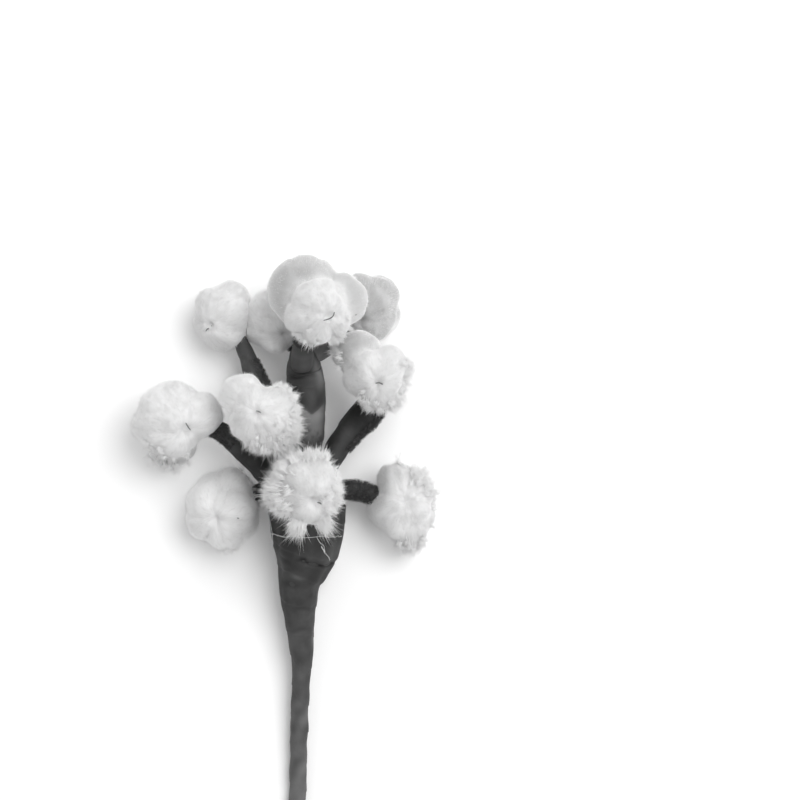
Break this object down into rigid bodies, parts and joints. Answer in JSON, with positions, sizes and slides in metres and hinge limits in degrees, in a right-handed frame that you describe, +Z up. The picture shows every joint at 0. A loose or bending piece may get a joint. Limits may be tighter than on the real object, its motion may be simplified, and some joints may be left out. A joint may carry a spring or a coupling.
{
  "type": "handmade chenille gypsophila stem",
  "caption": "Artificial gypsophila stem lying flat: fluffy white pile heads on tape-wound wire stalks that gather in a flared, taped neck above one long taped stem",
  "frame": {"origin": "Middle of the part's footprint, on the surface that it lies on", "axes": "+Y runs along the stem from its cut end to its heads, +X across it, +Z up from the surface"},
  "size_m": [0.085, 0.2512, 0.0492],
  "materials": {
    "pile": "matte",
    "tape": "satin"
  },
  "bodies": {
    "root": {"stem_wrap": "tape", "fork_wrap": "tape", "stalk_1": "tape", "stalk_2": "tape", "stalk_3": "tape", "stalk_4": "tape", "stalk_5": "tape", "stalk_6": "tape", "stalk_7": "tape", "stalk_8": "tape", "stalk_9": "tape", "stalk_10": "tape", "head_1": "pile", "head_2": "pile", "head_3": "pile", "head_4": "pile", "head_5": "pile", "head_6": "pile", "head_7": "pile", "head_8": "pile", "head_9": "pile", "head_10": "pile"}
  },
  "joints": []
}
